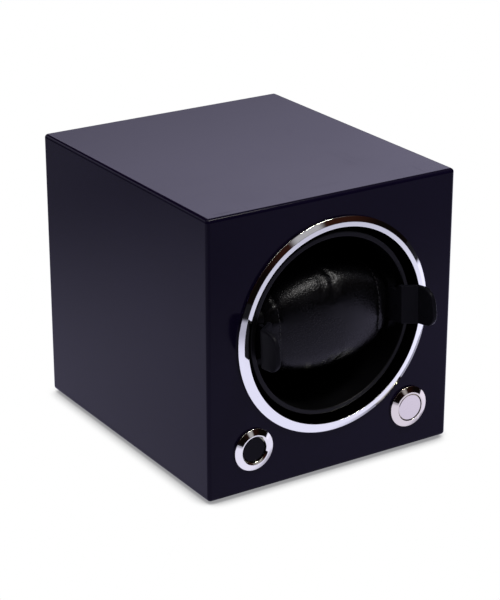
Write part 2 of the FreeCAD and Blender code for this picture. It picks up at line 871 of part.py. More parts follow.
def pillow_section(x, height, depth_size):
    """Closed wire of the pillow across X: four crowned sides joined by four corner arcs."""
    half_h = height / 2
    half_d = depth_size / 2
    corner = min(half_h, half_d) * pillow_corner_share
    lean = corner * (1 - sqrt(0.5))
    crown = pillow_crown

    def point(d, z):
        return V(x, at(pillow_mid_depth + d), axis_z + z)

    inner_h = half_h - crown
    inner_d = half_d - crown
    stops = [point(-half_d, 0), point(-inner_d, half_h - corner), point(-inner_d + lean, inner_h - lean),
             point(-half_d + corner, inner_h), point(0, half_h), point(half_d - corner, inner_h),
             point(inner_d - lean, inner_h - lean), point(inner_d, half_h - corner), point(half_d, 0),
             point(inner_d, corner - half_h), point(inner_d - lean, lean - inner_h),
             point(half_d - corner, -inner_h), point(0, -half_h), point(corner - half_d, -inner_h),
             point(lean - inner_d, lean - inner_h), point(-inner_d, corner - half_h)]
    ring = stops[15:] + stops
    edges = [Part.Arc(ring[i], ring[i + 1], ring[i + 2]).toShape() for i in range(0, 15, 2)]
    return Part.Wire(edges)


def pillow():
    sections = []
    hem_x = pillow_x - pillow_hem
    for share in pillow_stations:
        swell = max(0.0, cos(share * pi / 2)) ** pillow_fullness
        height = pillow_end_h + (pillow_h - pillow_end_h) * swell
        size_d = pillow_end_d + (pillow_d - pillow_end_d) * swell
        sections.append((share * hem_x, height, size_d))
    hem_h = pillow_end_h - pillow_hem_draw
    hem_d = pillow_end_d - pillow_hem_draw
    sections = [(-pillow_x, hem_h, hem_d)] + sections + [(pillow_x, hem_h, hem_d)]
    body = Part.makeLoft([pillow_section(*s) for s in sections], True, False)
    bore_d = spine_t / 2 + slip
    bore_z = spine_h / 2 + slip
    bore = block(-2 * pillow_x, 2 * pillow_x, holder_screw_depth - bore_d, holder_screw_depth + bore_d,
                 axis_z - bore_z, axis_z + bore_z)
    return body.cut(bore)


def holder_spine():
    half_t = spine_t / 2
    half_h = spine_h / 2
    bar = block(-pillow_x, pillow_x, holder_screw_depth - half_t, holder_screw_depth + half_t,
                axis_z - half_h, axis_z + half_h)
    hole_l = screw_bite + slip
    holes = [cross_rod(screw_r + seat_gap, -pillow_x, -pillow_x + hole_l, holder_screw_depth, axis_z),
             cross_rod(screw_r + seat_gap, pillow_x - hole_l, pillow_x, holder_screw_depth, axis_z)]
    return bar.cut(holes)


def end_plate(side):
    x0, x1 = sorted((side * pillow_x, side * end_plate_x))
    half_h = pillow_end_h / 2
    plate = rounded_plate(x0, x1, end_plate_front, end_plate_rear, axis_z - half_h, axis_z + half_h,
                          end_plate_corner_r, ALONG_X)
    slot_h = limb_h / 2 + slip
    slot = block(x0, x1, end_plate_front, tab_slot_end, axis_z - slot_h, axis_z + slot_h)
    pin_hole = upright_rod(tab_pin_r + fit_gap, side * tab_pivot_x, tab_pivot_depth,
                           axis_z - half_h, axis_z + half_h)
    head_x = side * (end_plate_x - screw_head_l)
    h0, h1 = sorted((head_x, side * end_plate_x))
    screw_hole = cross_rod(screw_r + seat_gap, x0, x1, holder_screw_depth, axis_z)
    head_hole = cross_rod(screw_head_r + seat_gap, h0, h1, holder_screw_depth, axis_z)
    return plate.cut([slot, pin_hole, screw_hole, head_hole])


def end_plate_screws():
    screws = []
    for side in (-1, 1):
        seat = end_plate_x - screw_head_l
        h0, h1 = sorted((side * seat, side * end_plate_x))
        s0, s1 = sorted((side * (pillow_x - screw_bite), side * seat))
        head = cross_rod(screw_head_r, h0, h1, holder_screw_depth, axis_z)
        screws.append(joined(head, cross_rod(screw_r, s0, s1, holder_screw_depth, axis_z)))
    return Part.makeCompound(screws)


def tab_pins():
    half_h = pillow_end_h / 2
    return Part.makeCompound([upright_rod(tab_pin_r, side * tab_pivot_x, tab_pivot_depth,
                                          axis_z - half_h, axis_z + half_h) for side in (-1, 1)])


def tab_strip(side):
    """The tab seen from above: a straight limb, an arm that slopes outwards and a straight ear."""
    half_limb = limb_t / 2
    half_ear = tab_t / 2
    lean = tan(radians(arm_slope / 2))
    bend = -bend_proud
    limb_end = bend + (ear_x - tab_pivot_x) / tan(radians(arm_slope))
    tip = bend - 2 * ear_l
    outline = [(tab_pivot_x - half_limb, tab_pivot_depth),
               (tab_pivot_x - half_limb, limb_end - half_limb * lean),
               (ear_x - half_ear, bend - half_ear * lean),
               (ear_x - half_ear, tip),
               (ear_x + half_ear, tip),
               (ear_x + half_ear, bend + half_ear * lean),
               (tab_pivot_x + half_limb, limb_end + half_limb * lean),
               (tab_pivot_x + half_limb, tab_pivot_depth)]
    low_z = axis_z - 2 * ear_h
    points = [V(side * x, at(d), low_z) for x, d in outline]
    return Part.Face(Part.makePolygon(points + points[:1])).extrude(ALONG_Z * (4 * ear_h))


def ear_point(ahead, up):
    """Point of the ear's outline, from its distance ahead of the bend and its height off the mid line."""
    turn = radians(ear_tilt)
    depth = -bend_proud - ahead * cos(turn) + up * sin(turn)
    return V(0, at(depth), axis_z + ear_lift + ahead * sin(turn) + up * cos(turn))


def tab_side_view(side):
    """The tab seen from the side: limb height in the drum, then a taller ear with round corners."""
    half_limb = limb_h / 2
    half_ear = ear_h / 2
    straight = ear_l - ear_corner_r
    tip_h = half_ear - ear_corner_r
    bulge = ear_corner_r * sqrt(0.5)
    neck_end = neck_depth - neck_l

    def limb_point(depth, up):
        return V(0, at(depth), axis_z + up)

    top = [limb_point(tab_pivot_depth, half_limb), limb_point(neck_depth, half_limb),
           limb_point(neck_end, ear_lift + half_ear), ear_point(0, half_ear), ear_point(straight, half_ear)]
    low = [limb_point(tab_pivot_depth, -half_limb), limb_point(neck_depth, -half_limb),
           limb_point(neck_end, ear_lift - half_ear), ear_point(0, -half_ear), ear_point(straight, -half_ear)]
    tips = [ear_point(ear_l, tip_h), ear_point(ear_l, -tip_h)]
    edges = [Part.makeLine(a, b) for line in (top, low) for a, b in zip(line, line[1:])]
    edges.append(Part.Arc(top[4], ear_point(straight + bulge, tip_h + bulge), tips[0]).toShape())
    edges.append(Part.makeLine(tips[0], tips[1]))
    edges.append(Part.Arc(low[4], ear_point(straight + bulge, -tip_h - bulge), tips[1]).toShape())
    edges.append(Part.makeLine(low[0], top[0]))
    face = Part.Face(Part.Wire(Part.__sortEdges__(edges)))
    return face.extrude(V(side * 2 * drum_r, 0, 0))


def tab(side):
    strip = tab_strip(side).common(tab_side_view(side))
    ahead_of_bend = at(-bend_proud - tab_t)
    rim = [e for e in strip.Edges if e.BoundBox.XLength < 0.01 and e.BoundBox.YMin < ahead_of_bend]
    strip = strip.makeFillet(min(ear_round, round_share * tab_t), rim)
    low_z = axis_z - limb_h / 2
    high_z = axis_z + limb_h / 2
    barrel = upright_rod(tab_barrel_r, side * tab_pivot_x, tab_pivot_depth, low_z, high_z)
    bore = upright_rod(tab_pin_r + run_gap, side * tab_pivot_x, tab_pivot_depth, low_z, high_z)
    return joined(strip, barrel).cut(bore)


# Push buttons


def button_bezel(side, mouth, pocket_r):
    lip_r = bezel_pocket_r + bezel_lip_w
    return turned(mouth + [(lip_r, -bezel_proud), (bezel_r, -bezel_edge_l), (bezel_r, 0),
                           (pocket_wall_r, 0), (pocket_wall_r, bezel_shoulder),
                           (barrel_r, bezel_shoulder), (barrel_r, barrel_end),
                           (barrel_bore_r, barrel_end), (barrel_bore_r, bezel_pocket_l),
                           (pocket_r, bezel_pocket_l)], side * button_x, button_z)


def left_button_bezel():
    """The left pocket is smaller, with a mouth that flares at 45 degrees."""
    mouth = [(left_pocket_r, left_mouth_w - bezel_proud), (left_pocket_r + left_mouth_w, -bezel_proud)]
    return button_bezel(-1, mouth, left_pocket_r)


def right_button_bezel():
    return button_bezel(1, [(bezel_pocket_r, -bezel_proud)], bezel_pocket_r)


def button_nut(side):
    end = panel_t + button_nut_t
    return hexagon(button_nut_af, barrel_r + seat_gap, panel_t, end, side * button_x, button_z)


def button_cap(side, cap_r, sunk, head_t):
    face = sunk - bezel_proud
    return turned([(0, face), (cap_r - cap_edge, face), (cap_r, face + cap_edge), (cap_r, face + head_t),
                   (cap_body_r, face + head_t), (cap_body_r, cap_collar_depth),
                   (cap_collar_r, cap_collar_depth), (cap_collar_r, cap_collar_end),
                   (cap_stem_r, cap_collar_end), (cap_stem_r, cap_stem_end),
                   (0, cap_stem_end)], side * button_x, button_z)


def switch(side):
    x = side * button_x
    body = block(x - switch_w / 2, x + switch_w / 2, switch_depth, switch_depth + switch_l,
                 cavity_floor_z, button_z + switch_head)
    well = rod(cap_stem_r + slip, switch_depth, cap_stem_end + button_travel + slip, x, button_z)
    return body.cut(well)


# Wiring


def lead(points):
    """Tube along straight runs that are joined by tangent arcs, as large as the runs allow."""
    edges = []
    start = points[0]
    for before, corner, after in zip(points, points[1:], points[2:]):
        back = before - corner
        ahead = after - corner
        run = lead_bend_share * min(back.Length, ahead.Length)
        back.normalize()
        ahead.normalize()
        turn_in = corner + back * run
        turn_out = corner + ahead * run
        half = acos(max(-1.0, min(1.0, back.dot(ahead)))) / 2
        to_middle = back + ahead
        to_middle.normalize()
        middle = corner + to_middle * (run / cos(half) - run * tan(half))
        edges.append(Part.makeLine(start, turn_in))
        edges.append(Part.Arc(turn_in, middle, turn_out).toShape())
        start = turn_out
    edges.append(Part.makeLine(start, points[-1]))
    path = Part.Wire(edges)
    section = Part.Wire(Part.makeCircle(lead_r, points[0], points[1] - points[0]))
    tube = path.makePipeShell([section], True, False)
    print("lead %.1f mm, volume over section times length %.4f"
          % (path.Length, tube.Volume / (pi * lead_r ** 2 * path.Length)))
    return tube


def pair_of_leads(points, apart):
    shifts = [apart * (share * lead_pitch) for share in (-0.5, 0.5)]
    return Part.makeCompound([lead([p + shift for p in points]) for shift in shifts])


def plug_face_x():
    return board_face_x + plug_w


def motor_leads():
    d, z = PLUGS["motor"]
    start_x = motor_x - can_r
    bend_z = motor_z
    gap = (start_x - plug_face_x()) / 3
    points = [V(start_x, at(d), bend_z), V(start_x - gap, at(d), bend_z),
              V(plug_face_x() + gap, at(d), z), V(plug_face_x(), at(d), z)]
    return pair_of_leads(points, ALONG_Y)


def battery_leads():
    d, z = PLUGS["battery"]
    x = board_face_x + plug_w / 2
    start_x = -tray_inner_w / 2 - tray_wall
    points = [V(start_x, at(d), tray_z), V(x, at(d), tray_z), V(x, at(d), z + plug_h / 2)]
    return pair_of_leads(points, ALONG_Y)


def jack_leads():
    d, z = PLUGS["jack"]
    start = at(cover_end + cover_recess - jack_body_l)
    points = [V(jack_x, start, jack_z), V(jack_x, at(d), jack_z), V(jack_x, at(d), z),
              V(plug_face_x(), at(d), z)]
    legs = []
    for share in (-0.5, 0.5):
        legs.append(lead([points[0] + V(share * lead_pitch, 0, 0),
                          points[1] + V(share * lead_pitch, 0, 0),
                          points[2] + V(share * lead_pitch, 0, share * lead_pitch),
                          points[3] + V(0, 0, share * lead_pitch)]))
    return Part.makeCompound(legs)


def switch_leads():
    d, z = PLUGS["switch"]
    plug_low_z = z - plug_h / 2
    x = board_face_x + plug_w / 2
    low_z = cavity_floor_z + 4 * lead_r
    reach = switch_w / 2 - lead_r
    left_x = min(max(x, -button_x - reach), reach - button_x)
    right_x = button_x + switch_w / 4
    start = at(switch_depth + switch_l)
    near = at(d - plug_l / 4)
    far = at(d + plug_l / 4)
    left = [V(left_x, start, low_z), V(left_x, near, low_z), V(x, near, plug_low_z)]
    right = [V(right_x, start, low_z), V(right_x, far, low_z), V(x, far, low_z), V(x, far, plug_low_z)]
    return Part.makeCompound([lead(left), lead(right)])


NODES = {
    "cabinet_shell": cabinet_shell,
    "corner_blocks": corner_blocks,
    "base_felt": base_felt,
    "front_ring": front_ring,
    "drum_housing": drum_housing,
    "housing_screws": housing_screws,
    "front_bush": front_bush,
    "rear_bush": rear_bush,
    "drum": drum,
    "drum_lining": drum_lining,
    "drum_screw": drum_screw,
    "drum_shaft": drum_shaft,
    "shaft_clip": shaft_clip,
    "drum_gear": drum_gear,
    "idler_gear": idler_gear,
    "idler_pin": idler_pin,
    "motor_pinion": motor_pinion,
    "motor_shaft": motor_shaft,
    "motor_gearhead": motor_gearhead,
    "motor_can": motor_can,
    "motor_screws": motor_screws,
    "gear_plate": gear_plate,
    "plate_screws": plate_screws,
    "rear_cover": rear_cover,
    "cover_screws": cover_screws,
    "battery_door": battery_door,
    "battery_tray": battery_tray,
    "battery_cells": battery_cells,
    "battery_contacts": battery_contacts,
    "dc_jack": dc_jack,
    "jack_nut": jack_nut,
    "control_board": control_board,
    "board_posts": board_posts,
    "board_screws": board_screws,
    "board_parts": board_parts,
    "pillow": pillow,
    "holder_spine": holder_spine,
    "left_end_plate": lambda: end_plate(-1),
    "right_end_plate": lambda: end_plate(1),
    "end_plate_screws": end_plate_screws,
    "tab_pins": tab_pins,
    "left_tab": lambda: tab(-1),
    "right_tab": lambda: tab(1),
    "left_button_bezel": left_button_bezel,
    "right_button_bezel": right_button_bezel,
    "left_button_nut": lambda: button_nut(-1),
    "right_button_nut": lambda: button_nut(1),
    "left_button_cap": lambda: button_cap(-1, left_pocket_r - cap_gap, left_cap_sunk, left_cap_t),
    "right_button_cap": lambda: button_cap(1, bezel_pocket_r - cap_gap, right_cap_sunk, right_cap_t),
    "left_switch": lambda: switch(-1),
    "right_switch": lambda: switch(1),
    "motor_leads": motor_leads,
    "battery_leads": battery_leads,
    "jack_leads": jack_leads,
    "switch_leads": switch_leads,
}

# At rest the drum and the holder stand turned by a small angle, with the right tab the higher one
TURNED_AT_REST = ("drum", "drum_lining", "pillow", "holder_spine", "left_end_plate", "right_end_plate",
                  "end_plate_screws", "tab_pins", "left_tab", "right_tab")

os.makedirs("parts", exist_ok=True)
for name, make in NODES.items():
    shape = make()
    if name in TURNED_AT_REST:
        shape.rotate(V(0, 0, axis_z), ALONG_Y, -drum_rest_turn)
    shape.exportStep("parts/%s.step" % name)
print("cabinet %.1f wide, %.1f deep, top at %.1f, drum axis at %.1f"
      % (cabinet_w, cabinet_d, cabinet_top_z, axis_z))
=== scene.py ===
import json
import math

import bmesh
import bpy
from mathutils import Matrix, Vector
from mathutils.bvhtree import BVHTree


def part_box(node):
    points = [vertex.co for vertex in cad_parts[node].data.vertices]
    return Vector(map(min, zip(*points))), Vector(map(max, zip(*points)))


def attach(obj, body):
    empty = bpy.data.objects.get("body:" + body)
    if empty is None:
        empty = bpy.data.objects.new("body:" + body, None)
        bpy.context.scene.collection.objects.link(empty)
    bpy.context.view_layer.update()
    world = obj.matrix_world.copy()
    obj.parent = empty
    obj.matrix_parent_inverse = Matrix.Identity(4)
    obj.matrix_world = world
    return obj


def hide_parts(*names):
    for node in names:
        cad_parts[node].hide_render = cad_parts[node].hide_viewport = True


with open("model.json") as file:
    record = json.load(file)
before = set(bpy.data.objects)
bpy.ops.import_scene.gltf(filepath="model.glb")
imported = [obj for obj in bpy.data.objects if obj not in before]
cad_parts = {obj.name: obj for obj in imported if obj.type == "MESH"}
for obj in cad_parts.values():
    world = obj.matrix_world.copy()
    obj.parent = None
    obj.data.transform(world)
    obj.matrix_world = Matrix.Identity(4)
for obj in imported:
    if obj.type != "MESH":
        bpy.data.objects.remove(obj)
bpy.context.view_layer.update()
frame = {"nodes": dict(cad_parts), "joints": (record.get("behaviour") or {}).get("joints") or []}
nodes = frame["nodes"]
joints = {j["name"]: j for j in frame["joints"]}

MM = 0.001
DRUM_AXIS = Vector(joints["drum_turn"]["pos_m"])
REST_TURN = math.radians(2.0)  # of the drum, and the holder in it, as the box stands

# Shader helpers

MIX_SHARE, MIX_FIRST, MIX_SECOND, MIX_RESULT = 0, 6, 7, 2  # colour sockets of a Mix node
SCALE_VECTOR, SCALE_BY = 0, 3  # sockets of a Vector Math node that scales


def put(tree, kind, feed=None, **settings):
    """Adds a node. Settings are its properties, and feed gives its inputs, plain or linked."""
    made = tree.nodes.new(kind)
    for name, value in settings.items():
        setattr(made, name, value)
    for name, value in (feed or {}).items():
        if isinstance(value, bpy.types.NodeSocket):
            tree.links.new(value, made.inputs[name])
        else:
            made.inputs[name].default_value = value
    return made


def sums(tree, operation, first, second=0.0, third=0.0, clamp=False):
    feed = {0: first, 1: second, 2: third}
    return put(tree, "ShaderNodeMath", feed, operation=operation, use_clamp=clamp).outputs[0]


def vectors(tree, operation, first, second):
    return put(tree, "ShaderNodeVectorMath", {0: first, 1: second}, operation=operation).outputs


def tinted(tree, colour, level):
    """A plain colour at a brightness that varies."""
    feed = {SCALE_VECTOR: colour, SCALE_BY: level}
    return put(tree, "ShaderNodeVectorMath", feed, operation="SCALE").outputs[0]


def spread(tree, value, low, high, to_low=0.0, to_high=1.0):
    """Eases a value from one range into another and holds it at both ends."""
    feed = {"Value": value, "From Min": low, "From Max": high, "To Min": to_low, "To Max": to_high}
    return put(tree, "ShaderNodeMapRange", feed, interpolation_type="SMOOTHSTEP").outputs["Result"]


def blend_colours(tree, share, first, second):
    """Mixes two colours, plain or linked, by a share that varies."""
    first, second = (c if isinstance(c, bpy.types.NodeSocket) else (*c, 1.0)
                     for c in (first, second))
    feed = {MIX_SHARE: share, MIX_FIRST: first, MIX_SECOND: second}
    return put(tree, "ShaderNodeMix", feed, data_type="RGBA").outputs[MIX_RESULT]


def place_in_part(tree):
    """Position on the piece, in metres, which moves with it."""
    return put(tree, "ShaderNodeTexCoord").outputs["Object"]


def noise(tree, where, scale, detail=2.0, roughness=0.5):
    feed = {"Vector": where, "Scale": scale, "Detail": detail, "Roughness": roughness}
    return put(tree, "ShaderNodeTexNoise", feed).outputs[0]


def stretched(tree, where, turn, scale):
    feed = {"Vector": where, "Rotation": turn, "Scale": scale}
    return put(tree, "ShaderNodeMapping", feed).outputs[0]


def half_of_bodies(tree):
    """Picks about half of the loose bodies of a piece."""
    which = put(tree, "ShaderNodeNewGeometry").outputs["Random Per Island"]
    return spread(tree, which, 0.49, 0.51)


def effect(name, inputs, outputs, make):
    """Node group with named float inputs and named outputs, for use in several finishes."""
    tree = bpy.data.node_groups.new(name, "ShaderNodeTree")
    for label, value in inputs.items():
        socket = tree.interface.new_socket(label, in_out="INPUT", socket_type="NodeSocketFloat")
        socket.default_value = value
    for label, kind in outputs.items():
        tree.interface.new_socket(label, in_out="OUTPUT", socket_type="NodeSocket" + kind)
    made = make(tree, tree.nodes.new("NodeGroupInput").outputs)
    last = tree.nodes.new("NodeGroupOutput")
    for label, socket in made.items():
        tree.links.new(socket, last.inputs[label])
    return tree


# Effects that several finishes share


def make_soft_edges(tree, given):
    """Normals rounded over at the edges, and where those edges are."""
    rounded = put(tree, "ShaderNodeBevel", {"Radius": given["Radius"]}, samples=6).outputs[0]
    flat = put(tree, "ShaderNodeNewGeometry").outputs["Normal"]
    alike = vectors(tree, "DOT_PRODUCT", rounded, flat)["Value"]
    return {"Normal": rounded, "Edge": spread(tree, alike, 0.995, 0.8)}


def make_polish_marks(tree, given):
    """Roughness of a polished face, with hairlines in patches and a film from handling."""
    where = place_in_part(tree)
    first = stretched(tree, where, turn=(0.4, 0.2, 0.7), scale=(900, 24, 900))
    second = stretched(tree, where, turn=(1.1, 0.9, -0.5), scale=(24, 900, 900))
    hairs = sums(tree, "MAXIMUM",
                 spread(tree, noise(tree, first, 1.0, detail=1.0), 0.66, 0.74),
                 spread(tree, noise(tree, second, 1.0, detail=1.0), 0.67, 0.75))
    patches = spread(tree, noise(tree, where, 70.0), 0.45, 0.7)
    hairs = sums(tree, "MULTIPLY", hairs, patches)
    film = spread(tree, noise(tree, where, 22.0, detail=3.0, roughness=0.6), 0.35, 0.75)
    film = sums(tree, "MULTIPLY", film, given["Film"])
    marks = sums(tree, "MULTIPLY_ADD", hairs, given["Hairlines"], film)
    return {"Roughness": sums(tree, "ADD", given["Base"], marks, clamp=True)}


def make_moulded_grain(tree, given):
    """Fine grain of a mould's wall, and slow changes of shade."""
    where = place_in_part(tree)
    feed = {"Vector": where, "Scale": given["Scale"]}
    cells = put(tree, "ShaderNodeTexVoronoi", feed, feature="SMOOTH_F1").outputs["Distance"]
    fine = noise(tree, where, sums(tree, "MULTIPLY", given["Scale"], 0.6), detail=3.0,
                 roughness=0.6)
    shade = spread(tree, noise(tree, where, 45.0, detail=3.0, roughness=0.6), 0.3, 0.75)
    return {"Height": sums(tree, "MULTIPLY_ADD", cells, 0.7, fine), "Shade": shade}


def make_hide_grain(tree, given):
    """Pebbled leather: domes with creases across them and small pores."""
    where = place_in_part(tree)
    wander = put(tree, "ShaderNodeTexNoise", {"Vector": where, "Scale": 420.0, "Detail": 1.0})
    feed = {0: wander.outputs["Color"], 1: (0.0011,) * 3, 2: where}
    warped = put(tree, "ShaderNodeVectorMath", feed, operation="MULTIPLY_ADD").outputs[0]
    feed = {"Vector": warped, "Scale": given["Scale"]}
    pebbles = put(tree, "ShaderNodeTexVoronoi", feed, feature="DISTANCE_TO_EDGE")
    domes = spread(tree, pebbles.outputs["Distance"], 0.02, 0.32)
    creases = stretched(tree, where, turn=(0.0, 0.0, 0.3), scale=(60, 210, 210))
    creases = spread(tree, noise(tree, creases, 1.0, detail=3.0, roughness=0.6), 0.55, 0.72)
    height = sums(tree, "MULTIPLY_ADD", creases, given["Creases"], domes)
    pores = spread(tree, noise(tree, where, 5200.0, detail=1.0), 0.62, 0.7)
    height = sums(tree, "SUBTRACT", height, sums(tree, "MULTIPLY", pores, 0.25))
    return {"Height": height, "Domes": domes}


def make_nap(tree, given):
    """Short fibres, brushed lighter and darker."""
    where = place_in_part(tree)
    fibres = noise(tree, where, given["Scale"], detail=3.0, roughness=0.7)
    brushed = stretched(tree, where, turn=(0.0, 0.0, 0.5), scale=(40, 90, 40))
    brushed = noise(tree, brushed, 1.0, detail=3.0, roughness=0.6)
    shade = sums(tree, "MULTIPLY_ADD", fibres, 0.45, sums(tree, "MULTIPLY", brushed, 0.55))
    return {"Height": fibres, "Shade": shade}


def make_lathe_lines(tree, given):
    """Turning lines about an axis that runs front to back."""
    split = put(tree, "ShaderNodeSeparateXYZ", {0: place_in_part(tree)}).outputs
    across = sums(tree, "SUBTRACT", split["X"], given["Centre X"])
    up = sums(tree, "SUBTRACT", split["Z"], given["Centre Z"])
    square = sums(tree, "MULTIPLY_ADD", across, across, sums(tree, "MULTIPLY", up, up))
    feed = {"X": sums(tree, "SQRT", square), "Y": sums(tree, "MULTIPLY", split["Y"], 0.7)}
    rings = put(tree, "ShaderNodeCombineXYZ", feed).outputs[0]
    return {"Height": noise(tree, rings, given["Scale"], roughness=0.7)}


SOFT_EDGES = effect("soft_edges", {"Radius": 0.3 * MM},
                    {"Normal": "Vector", "Edge": "Float"}, make_soft_edges)
POLISH_MARKS = effect("polish_marks", {"Base": 0.08, "Hairlines": 0.1, "Film": 0.04},
                      {"Roughness": "Float"}, make_polish_marks)
MOULDED_GRAIN = effect("moulded_grain", {"Scale": 2200.0},
                       {"Height": "Float", "Shade": "Float"}, make_moulded_grain)
HIDE_GRAIN = effect("hide_grain", {"Scale": 900.0, "Creases": -0.8},
                    {"Height": "Float", "Domes": "Float"}, make_hide_grain)
NAP = effect("nap", {"Scale": 2600.0}, {"Height": "Float", "Shade": "Float"}, make_nap)
LATHE_LINES = effect("lathe_lines", {"Centre X": 0.0, "Centre Z": 0.0, "Scale": 4000.0},
                     {"Height": "Float"}, make_lathe_lines)


class Finish:
    """A material with one Principled shader, whose plain values are set on its own sockets."""

    def __init__(self, name, **plain):
        self.material = bpy.data.materials.new(name)
        self.material.use_nodes = True
        self.tree = self.material.node_tree
        self.shader = self.tree.nodes["Principled BSDF"]
        for label, value in plain.items():
            socket = self.shader.inputs[label.replace("_", " ")]
            socket.default_value = (*value, 1.0) if isinstance(value, tuple) else value

    def use(self, group, **values):
        made = put(self.tree, "ShaderNodeGroup", node_tree=group)
        for label, value in values.items():
            made.inputs[label.replace("_", " ")].default_value = value
        return made.outputs

    def join(self, label, socket):
        self.tree.links.new(socket, self.shader.inputs[label])

    def colour(self, share, first, second):
        self.join("Base Color", blend_colours(self.tree, share, first, second))

    def polish(self, base, hairlines, film):
        marks = self.use(POLISH_MARKS, Base=base, Hairlines=hairlines, Film=film)
        self.join("Roughness", marks["Roughness"])

    def relief(self, height, depth, strength, over=None):
        feed = {"Height": height, "Distance": depth, "Strength": strength}
        if over is not None:
            feed["Normal"] = over
        self.join("Normal", put(self.tree, "ShaderNodeBump", feed).outputs[0])


# Finishes


def piano_lacquer():
    """Near black lacquer, buffed, with a trace of orange peel."""
    made = Finish("piano_lacquer", IOR=1.15)
    tree = made.tree
    where = place_in_part(tree)
    deep = spread(tree, noise(tree, where, 9.0), 0.3, 0.7)
    made.colour(deep, (0.0024, 0.0015, 0.0074), (0.0031, 0.002, 0.0095))
    made.polish(base=0.1, hairlines=0.07, film=0.035)
    made.relief(noise(tree, where, 620.0, detail=1.0), 0.006 * MM, 0.35)
    return made.material


def raw_fibreboard():
    made = Finish("raw_fibreboard", Roughness=0.85)
    tree = made.tree
    lay = stretched(tree, place_in_part(tree), turn=(0.2, 0.1, 0.4), scale=(700, 2600, 1500))
    fibres = noise(tree, lay, 1.0, detail=4.0, roughness=0.7)
    made.colour(fibres, (0.2, 0.13, 0.075), (0.5, 0.37, 0.24))
    made.relief(fibres, 0.15 * MM, 0.6)
    return made.material


def black_felt():
    made = Finish("black_felt", Roughness=0.95, Sheen_Weight=0.25, Sheen_Roughness=0.5)
    nap = made.use(NAP, Scale=1900.0)
    made.colour(nap["Shade"], (0.006, 0.006, 0.007), (0.035, 0.035, 0.038))
    made.relief(nap["Height"], 0.5 * MM, 0.8)
    return made.material


def black_suede():
    made = Finish("black_suede", Roughness=0.95, IOR=1.2, Sheen_Weight=0.03, Sheen_Roughness=0.4)
    nap = made.use(NAP, Scale=3800.0)
    made.colour(nap["Shade"], (0.0008, 0.0008, 0.001), (0.004, 0.004, 0.0048))
    made.relief(nap["Height"], 0.2 * MM, 0.5)
    return made.material


def polished_chrome(name, colour, base, centre):
    """Plated and buffed, with rounded edges. Base is its roughness between the marks."""
    made = Finish(name, Metallic=1.0, Base_Color=colour)
    made.polish(base, hairlines=0.1, film=0.03)
    lines = made.use(LATHE_LINES, Centre_X=centre.x, Centre_Z=centre.z, Scale=2600.0)
    edges = made.use(SOFT_EDGES, Radius=0.22 * MM)
    made.relief(lines["Height"], 0.002 * MM, 0.25, edges["Normal"])
    return made.material


def moulded_black(name, dark, light, roughness, ior, grain, depth, edge=0.25):
    """Moulded black plastic with its grain, its gloss and rounded, slightly rubbed edges.

    Grain is in cells per metre, and the depth of the grain and the edge radius are in mm.
    """
    made = Finish(name, IOR=ior)
    grains = made.use(MOULDED_GRAIN, Scale=grain)
    edges = made.use(SOFT_EDGES, Radius=edge * MM)
    body = blend_colours(made.tree, grains["Shade"], dark, light)
    made.colour(edges["Edge"], body, tuple(1.6 * c + 0.001 for c in light))
    made.polish(roughness, hairlines=0.12, film=0.08)
    made.relief(grains["Height"], depth * MM, 0.5, edges["Normal"])
    return made.material


def pillow_leather():
    """Black pebbled leather, glossier on its domes and duller in patches."""
    made = Finish("pillow_leather", IOR=1.22)
    tree = made.tree
    grain = made.use(HIDE_GRAIN, Scale=1050.0, Creases=-0.7)
    made.colour(grain["Domes"], (0.0008, 0.0008, 0.001), (0.003, 0.003, 0.0036))
    dull = spread(tree, noise(tree, place_in_part(tree), 60.0, detail=3.0), 0.35, 0.7)
    dull = sums(tree, "MULTIPLY_ADD", dull, 0.1, 0.24)
    made.join("Roughness", sums(tree, "MULTIPLY_ADD", grain["Domes"], -0.1, dull))
    made.relief(grain["Height"], 0.08 * MM, 0.45)
    return made.material


def waxed_thread():
    made = Finish("waxed_thread", Roughness=0.6, IOR=1.4)
    tree = made.tree
    lay = stretched(tree, place_in_part(tree), turn=(0.6, 0.4, 0.8), scale=(900, 6000, 6000))
    twist = noise(tree, lay, 1.0, detail=1.0)
    made.colour(twist, (0.004, 0.004, 0.0045), (0.016, 0.016, 0.018))
    made.relief(twist, 0.08 * MM, 0.7)
    return made.material


def bare_metal(name, shades, roughness, centre, scale=5200.0):
    """Machined metal with fine turning lines about its centre."""
    made = Finish(name, Metallic=1.0)
    lines = made.use(LATHE_LINES, Centre_X=centre.x, Centre_Z=centre.z, Scale=scale)
    made.colour(lines["Height"], *shades)
    made.polish(roughness, hairlines=0.15, film=0.1)
    edges = made.use(SOFT_EDGES, Radius=0.12 * MM)
    made.relief(lines["Height"], 0.006 * MM, 0.5, edges["Normal"])
    return made.material


def natural_acetal():
    """Milky gear plastic."""
    made = Finish("natural_acetal", IOR=1.48, Subsurface_Weight=0.12, Subsurface_Scale=0.6 * MM)
    grains = made.use(MOULDED_GRAIN, Scale=1500.0)
    made.colour(grains["Shade"], (0.72, 0.7, 0.64), (0.82, 0.81, 0.77))
    made.polish(base=0.38, hairlines=0.1, film=0.08)
    edges = made.use(SOFT_EDGES, Radius=0.1 * MM)
    made.relief(grains["Height"], 0.008 * MM, 0.4, edges["Normal"])
    return made.material


